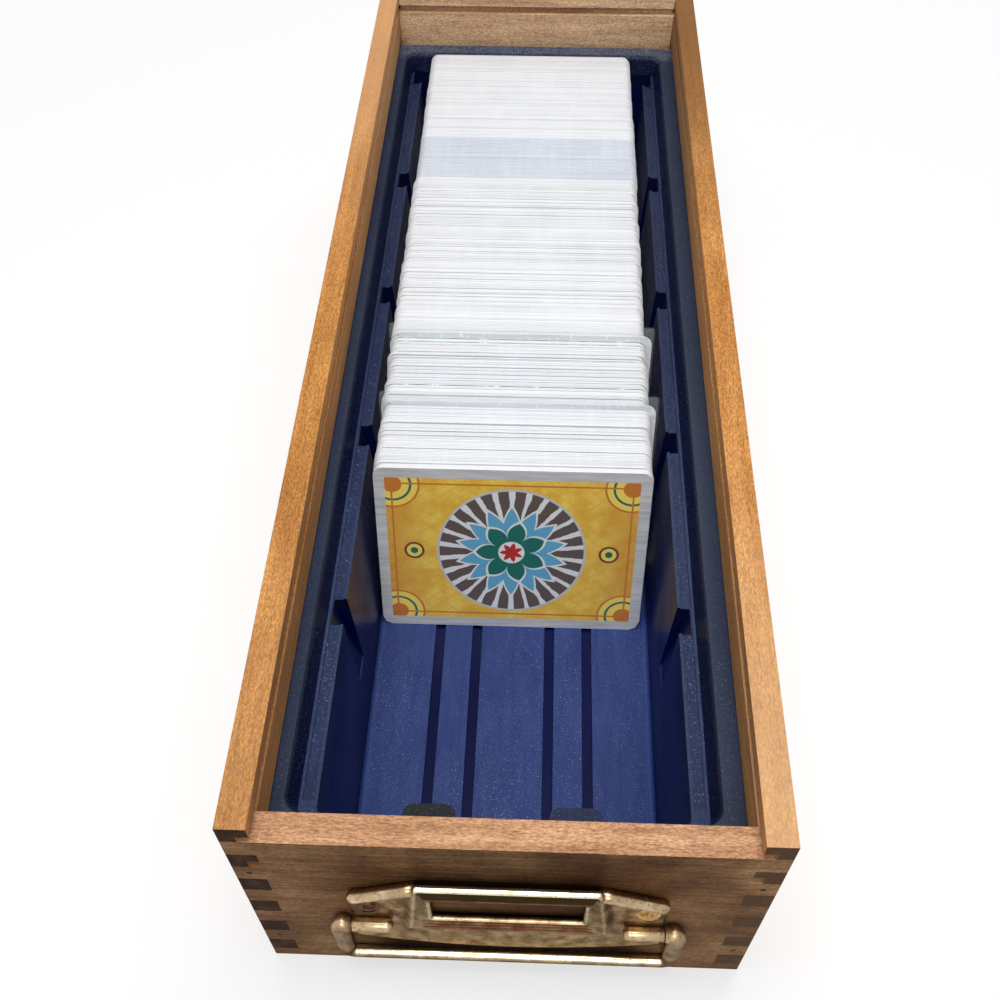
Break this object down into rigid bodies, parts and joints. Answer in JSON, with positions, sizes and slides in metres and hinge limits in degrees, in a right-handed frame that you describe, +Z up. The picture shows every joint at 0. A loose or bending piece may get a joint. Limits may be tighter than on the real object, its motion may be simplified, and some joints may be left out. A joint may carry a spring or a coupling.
{
  "type": "trading card drawer box",
  "caption": "Long finger-jointed wooden card box with a moulded plastic tray, a brass label pull with a swinging bail, and leaning trading cards, two of them in clear sleeves.",
  "frame": {"origin": "centre of the wooden box's underside; the pull stands out in front of the box and isn't counted", "axes": "+Z up, +Y to the back, away from the pull, +X to the right for someone who faces the pull"},
  "size_m": [0.1356, 0.4025, 0.0878],
  "materials": {
    "case_wood": "satin",
    "bottom_board": "matte",
    "brad_steel": "dull",
    "tray_plastic": "gloss",
    "pull_brass": "worn",
    "bail_brass": "worn",
    "screw_brass": "worn",
    "card_stock": "smooth",
    "sleeve_film": "clear"
  },
  "bodies": {
    "drawer_box": {"left_side": "case_wood", "right_side": "case_wood", "front_panel": "case_wood", "back_panel": "case_wood", "bottom_panel": "bottom_board", "corner_brads": "brad_steel", "card_tray": "tray_plastic", "pull_plate": "pull_brass", "pull_screws": "screw_brass"},
    "bail": {"bail_handle": "bail_brass"},
    "front_card_body": {"front_card": "card_stock"},
    "card_packet_1_body": {"card_packet_1": "card_stock"},
    "card_packet_2_body": {"card_packet_2": "card_stock"},
    "sleeve_front_body": {"card_sleeve_front": "sleeve_film", "sleeved_card_front": "card_stock"},
    "card_packet_3_body": {"card_packet_3": "card_stock"},
    "sleeve_rear_body": {"card_sleeve_rear": "sleeve_film", "sleeved_card_rear": "card_stock"},
    "card_packet_4_body": {"card_packet_4": "card_stock"},
    "card_packet_5_body": {"card_packet_5": "card_stock"},
    "card_packet_6_body": {"card_packet_6": "card_stock"},
    "card_packet_7_body": {"card_packet_7": "card_stock"}
  },
  "joints": [
    {"name": "bail_swing", "type": "hinge", "parent": "drawer_box", "child": "bail", "pos_m": [0.0008, -0.2017, 0.0353], "axis": [-1, 0, 0], "range_deg": [0, 165]},
    {"name": "lift_front_card", "type": "slide", "parent": "drawer_box", "child": "front_card_body", "axis": [0, 0.2773, 0.9608], "range_m": [0, 0.08]},
    {"name": "lift_card_packet_1", "type": "slide", "parent": "drawer_box", "child": "card_packet_1_body", "axis": [0, 0.2773, 0.9608], "range_m": [0, 0.08]},
    {"name": "lift_card_packet_2", "type": "slide", "parent": "drawer_box", "child": "card_packet_2_body", "axis": [0, 0.294, 0.9558], "range_m": [0, 0.08]},
    {"name": "lift_sleeve_front", "type": "slide", "parent": "drawer_box", "child": "sleeve_front_body", "axis": [0, 0.294, 0.9558], "range_m": [0, 0.08]},
    {"name": "lift_card_packet_3", "type": "slide", "parent": "drawer_box", "child": "card_packet_3_body", "axis": [0, 0.3107, 0.9505], "range_m": [0, 0.08]},
    {"name": "lift_sleeve_rear", "type": "slide", "parent": "drawer_box", "child": "sleeve_rear_body", "axis": [0, 0.3107, 0.9505], "range_m": [0, 0.08]},
    {"name": "lift_card_packet_4", "type": "slide", "parent": "drawer_box", "child": "card_packet_4_body", "axis": [0, 0.3272, 0.9449], "range_m": [0, 0.08]},
    {"name": "lift_card_packet_5", "type": "slide", "parent": "drawer_box", "child": "card_packet_5_body", "axis": [0, 0.3437, 0.9391], "range_m": [0, 0.08]},
    {"name": "lift_card_packet_6", "type": "slide", "parent": "drawer_box", "child": "card_packet_6_body", "axis": [0, 0.36, 0.933], "range_m": [0, 0.08]},
    {"name": "lift_card_packet_7", "type": "slide", "parent": "drawer_box", "child": "card_packet_7_body", "axis": [0, 0.3762, 0.9265], "range_m": [0, 0.08]}
  ]
}
